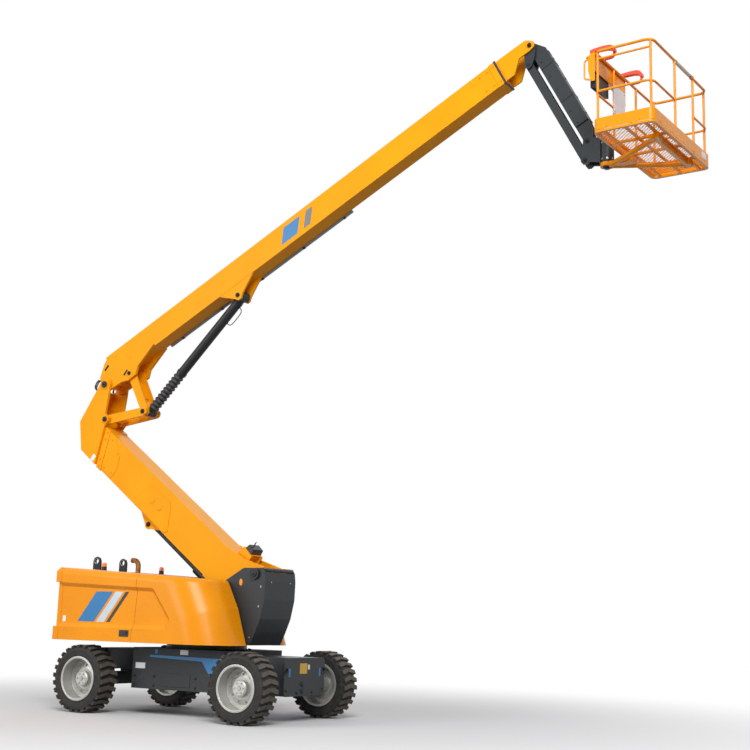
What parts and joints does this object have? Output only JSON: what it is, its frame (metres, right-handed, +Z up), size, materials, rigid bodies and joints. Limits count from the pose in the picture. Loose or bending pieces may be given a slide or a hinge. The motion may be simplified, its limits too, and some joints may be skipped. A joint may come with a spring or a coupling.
{
  "type": "articulating boom lift",
  "caption": "Self-propelled articulating boom lift: lugged tyres, slewing turntable with hoods, two telescoping booms joined by a linkage, jib and work platform.",
  "frame": {"origin": "on the ground under the slew axis, midway between the four wheels", "axes": "+X the way the upper boom points, over the drive axle; +Y to its left; +Z up"},
  "size_m": [10.5699, 2.485, 9.9293],
  "materials": {
    "orange_paint": "gloss enamel",
    "boom_paint": "gloss enamel",
    "dark_paint": "satin enamel",
    "black_paint": "satin enamel",
    "rim_silver": "silver enamel",
    "tyre": "worn rubber",
    "black_rubber": "matt rubber",
    "pin_steel": "plated",
    "exhaust_steel": "heat stained",
    "cast_block": "painted casting",
    "lamp_amber": "clear amber",
    "pipe_grey": "grey enamel",
    "guard_red": "moulded",
    "blank_white": "laminate",
    "grip_white": "foam sleeve"
  },
  "bodies": {
    "chassis": {"chassis_frame": "dark_paint", "steer_axle": "dark_paint", "drive_axle": "dark_paint", "slew_ring": "black_paint"},
    "knuckle_right": {"knuckle_right": "dark_paint"},
    "knuckle_left": {"knuckle_left": "dark_paint"},
    "turntable": {"turntable_frame": "dark_paint", "counterweight": "orange_paint", "hood_nose_right": "orange_paint", "hood_nose_left": "orange_paint", "engine_block": "cast_block", "tank_block": "dark_paint", "lifting_lugs": "black_paint", "exhaust_pipe": "exhaust_steel"},
    "door_right": {"hood_door_right": "orange_paint", "beacon_right": "lamp_amber"},
    "door_left": {"hood_door_left": "orange_paint", "beacon_left": "lamp_amber"},
    "tower": {"tower_boom": "boom_paint", "rest_pad": "black_rubber"},
    "riser": {"tower_fly": "boom_paint"},
    "tower_cylinder": {"tower_cylinder": "black_paint"},
    "tower_rod": {"tower_rod": "black_paint"},
    "upper_boom": {"upper_boom": "boom_paint", "conduit": "pipe_grey"},
    "upper_fly": {"upper_fly": "boom_paint"},
    "lower_link": {"lower_link": "boom_paint"},
    "upper_link": {"upper_link": "boom_paint"},
    "lift_cylinder": {"lift_cylinder": "black_paint"},
    "lift_rod": {"lift_rod": "pin_steel", "rod_boot": "black_rubber"},
    "head_pin": {"head_pin": "pin_steel"},
    "jib_bracket": {"jib_bracket": "dark_paint"},
    "jib_arm": {"jib_arm": "dark_paint"},
    "jib_link": {"jib_link": "dark_paint"},
    "platform_support": {"platform_support": "dark_paint"},
    "platform": {"platform_mount": "orange_paint", "platform_floor": "orange_paint", "toe_board": "orange_paint", "guard_rails": "orange_paint", "control_console": "orange_paint", "console_tray": "black_paint", "hand_guards": "guard_red", "notice_board": "blank_white"},
    "gate_bar": {"gate_bar": "grip_white"},
    "wheel_steer_right": {"tyre_steer_right": "tyre", "rim_steer_right": "rim_silver"},
    "wheel_steer_left": {"tyre_steer_left": "tyre", "rim_steer_left": "rim_silver"},
    "wheel_drive_right": {"tyre_drive_right": "tyre", "rim_drive_right": "rim_silver"},
    "wheel_drive_left": {"tyre_drive_left": "tyre", "rim_drive_left": "rim_silver"}
  },
  "joints": [
    {"name": "steer", "type": "hinge", "parent": "chassis", "child": "knuckle_right", "pos_m": [-1.5, -0.78, 0.5075], "axis": [0, 0, 1], "range_deg": [-30, 30]},
    {"name": "steer_left", "type": "hinge", "parent": "chassis", "child": "knuckle_left", "pos_m": [-1.5, 0.78, 0.5075], "axis": [0, 0, 1], "range_deg": [-30, 30]},
    {"name": "spin_steer_right", "type": "hinge", "parent": "knuckle_right", "child": "wheel_steer_right", "pos_m": [-1.5, -1.065, 0.5075], "axis": [0, 1, 0], "continuous": true},
    {"name": "spin_steer_left", "type": "hinge", "parent": "knuckle_left", "child": "wheel_steer_left", "pos_m": [-1.5, 1.065, 0.5075], "axis": [0, 1, 0], "continuous": true},
    {"name": "spin_drive_right", "type": "hinge", "parent": "chassis", "child": "wheel_drive_right", "pos_m": [1.5, -1.065, 0.5075], "axis": [0, 1, 0], "continuous": true},
    {"name": "spin_drive_left", "type": "hinge", "parent": "chassis", "child": "wheel_drive_left", "pos_m": [1.5, 1.065, 0.5075], "axis": [0, 1, 0], "continuous": true},
    {"name": "slew", "type": "hinge", "parent": "chassis", "child": "turntable", "pos_m": [0, 0, 1.08], "axis": [0, 0, 1], "continuous": true},
    {"name": "hood_right", "type": "hinge", "parent": "turntable", "child": "door_right", "pos_m": [-1.2, -0.44, 2.11732], "axis": [-0.9983, 0, 0.0575], "range_deg": [0, 65]},
    {"name": "hood_left", "type": "hinge", "parent": "turntable", "child": "door_left", "pos_m": [-1.2, 0.44, 2.11732], "axis": [0.9983, 0, -0.0575], "range_deg": [0, 65]},
    {"name": "tower_lift", "type": "hinge", "parent": "turntable", "child": "tower", "pos_m": [1.15, 0, 2.14], "axis": [0, 1, 0], "range_deg": [-37, 28]},
    {"name": "tower_extend", "type": "slide", "parent": "tower", "child": "riser", "axis": [-0.7986, 0, 0.6018], "range_m": [0, 2.3]},
    {"name": "tower_rod_swing", "type": "hinge", "parent": "tower", "child": "tower_rod", "pos_m": [-1.2362, 0, 2.93642], "axis": [0, 1, 0], "range_deg": [-1.2, 1.2]},
    {"name": "tower_barrel_slide", "type": "slide", "parent": "tower_rod", "child": "tower_cylinder", "axis": [0.7974, 0, -0.6034], "range_m": [-0.53, 0.4]},
    {"name": "upper_lift", "type": "hinge", "parent": "riser", "child": "upper_boom", "pos_m": [-2.29121, 0, 5.31162], "axis": [0, -1, 0], "range_deg": [-66, 42]},
    {"name": "upper_extend", "type": "slide", "parent": "upper_boom", "child": "upper_fly", "axis": [0.8829, 0, 0.4695], "range_m": [0, 5.2]},
    {"name": "lower_link_swing", "type": "hinge", "parent": "riser", "child": "lower_link", "pos_m": [-2.23177, 0, 4.71089], "axis": [0, -1, 0], "range_deg": [-42, 28]},
    {"name": "upper_link_swing", "type": "hinge", "parent": "upper_boom", "child": "upper_link", "pos_m": [-1.81187, 0, 5.48154], "axis": [0, -1, 0], "range_deg": [-41, 63]},
    {"name": "lift_cylinder_swing", "type": "hinge", "parent": "upper_boom", "child": "lift_cylinder", "pos_m": [0.35386, 0, 6.62063], "axis": [0, -1, 0], "range_deg": [-6.5, 4.2]},
    {"name": "lift_rod_slide", "type": "slide", "parent": "lift_cylinder", "child": "lift_rod", "axis": [-0.7077, 0, -0.7065], "range_m": [-0.72, 0.47], "deforming": ["rod_boot"]},
    {"name": "level_upper", "type": "hinge", "parent": "upper_fly", "child": "head_pin", "pos_m": [5.46535, 0, 9.83452], "axis": [0, -1, 0], "range_deg": [-42, 66]},
    {"name": "level_tower", "type": "hinge", "parent": "head_pin", "child": "jib_bracket", "pos_m": [5.46535, 0, 9.83452], "axis": [0, 1, 0], "range_deg": [-28, 37]},
    {"name": "jib_lift", "type": "hinge", "parent": "jib_bracket", "child": "jib_arm", "pos_m": [5.46535, 0, 9.83452], "axis": [0, -1, 0], "range_deg": [-8, 119]},
    {"name": "jib_link_swing", "type": "hinge", "parent": "jib_bracket", "child": "jib_link", "pos_m": [5.43534, 0, 9.55252], "axis": [0, -1, 0], "range_deg": [-8, 119]},
    {"name": "jib_level", "type": "hinge", "parent": "jib_arm", "child": "platform_support", "pos_m": [6.33484, 0, 8.21292], "axis": [0, -1, 0], "range_deg": [-119, 8]},
    {"name": "platform_turn", "type": "hinge", "parent": "platform_support", "child": "platform", "pos_m": [6.58984, 0, 8.01292], "axis": [0, 0, 1], "range_deg": [-76, 84]},
    {"name": "gate_lift", "type": "hinge", "parent": "platform", "child": "gate_bar", "pos_m": [7.70643, 0.32791, 9.05992], "axis": [-0.9976, 0.0698, 0], "range_deg": [0, 80]}
  ],
  "couplings": [
    {"joint": "steer_left", "follows": "steer", "ratio": 1},
    {"joint": "tower_rod_swing", "follows": "tower_lift", "ratio": -0.02},
    {"joint": "tower_barrel_slide", "follows": "tower_lift", "m_per_rad": 0.75},
    {"joint": "lower_link_swing", "follows": "upper_lift", "ratio": 0.63},
    {"joint": "upper_link_swing", "follows": "upper_lift", "ratio": -0.92},
    {"joint": "lift_cylinder_swing", "follows": "upper_lift", "ratio": 0.09},
    {"joint": "lift_rod_slide", "follows": "upper_lift", "m_per_rad": 0.62},
    {"joint": "level_upper", "follows": "upper_lift", "ratio": -1},
    {"joint": "level_tower", "follows": "tower_lift", "ratio": -1},
    {"joint": "jib_link_swing", "follows": "jib_lift", "ratio": 1},
    {"joint": "jib_level", "follows": "jib_lift", "ratio": -1}
  ]
}
